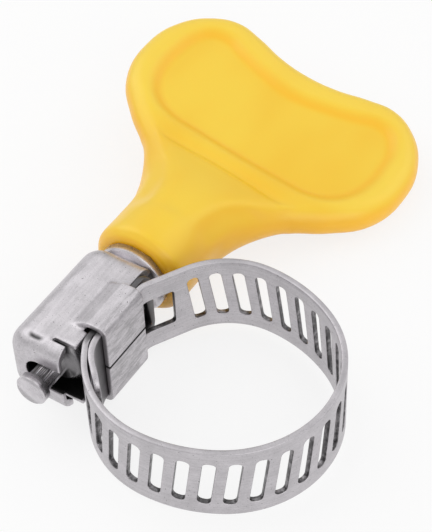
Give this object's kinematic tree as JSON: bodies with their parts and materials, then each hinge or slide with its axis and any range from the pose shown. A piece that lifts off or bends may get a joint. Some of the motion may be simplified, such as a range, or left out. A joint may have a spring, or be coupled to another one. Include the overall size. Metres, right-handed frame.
{
  "type": "worm-drive hose clamp",
  "caption": "Slotted steel band bent to a loop, with a folded housing and a worm screw turned by a butterfly thumb key, for closing a hose or tube onto a spigot by hand.",
  "frame": {"origin": "centre of the hose bore, half way across the band", "axes": "+Z along the hose axis, +Y along the screw towards the key, -X from the hose axis towards the housing"},
  "size_m": [0.0392, 0.0501, 0.0094],
  "materials": {
    "band_steel": "satin",
    "housing_steel": "worn satin",
    "screw_steel": "bright",
    "key_plastic": "gloss"
  },
  "bodies": {
    "clamp": {"band": "band_steel", "housing": "housing_steel"},
    "screw": {"worm_screw": "screw_steel", "key_handle": "key_plastic"}
  },
  "joints": [
    {"name": "screw_turn", "type": "hinge", "parent": "clamp", "child": "screw", "pos_m": [-0.01399, 0, 0], "axis": [0, -1, 0], "range_deg": [-1530, 3330], "deforming": ["band"]}
  ]
}
